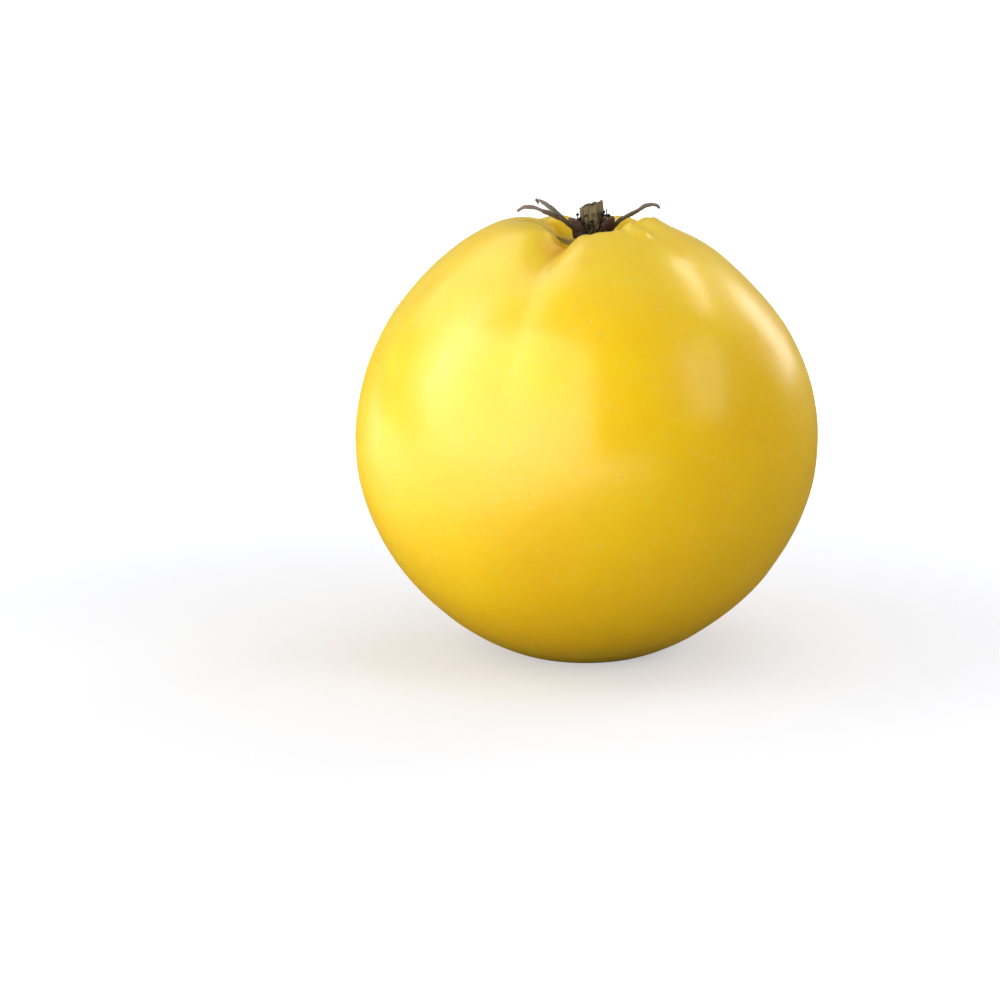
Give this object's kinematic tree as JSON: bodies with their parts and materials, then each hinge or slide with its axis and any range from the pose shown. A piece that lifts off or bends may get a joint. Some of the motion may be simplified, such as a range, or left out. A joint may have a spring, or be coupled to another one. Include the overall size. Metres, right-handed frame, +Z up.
{
  "type": "quince",
  "caption": "Round ripe quince standing on its stalk end, with furrowed shoulders, a dried calyx and stamens in the basin on top, and a stalk stub in the hollow below.",
  "frame": {"origin": "on the surface the fruit rests on, under the middle of its outline", "axes": "+Z up from the stalk end to the calyx end; -Y is the side with the broad front lobe, with the deep furrow to its left; +X is to the right seen from that side"},
  "size_m": [0.0901, 0.0889, 0.0894],
  "materials": {
    "quince_skin": "satin",
    "dried_sepal": "matte",
    "dried_stamen": "matte",
    "stalk_wood": "matte"
  },
  "bodies": {
    "root": {"fruit": "quince_skin", "calyx": "dried_sepal", "stamens": "dried_stamen", "stalk": "stalk_wood"}
  },
  "joints": []
}
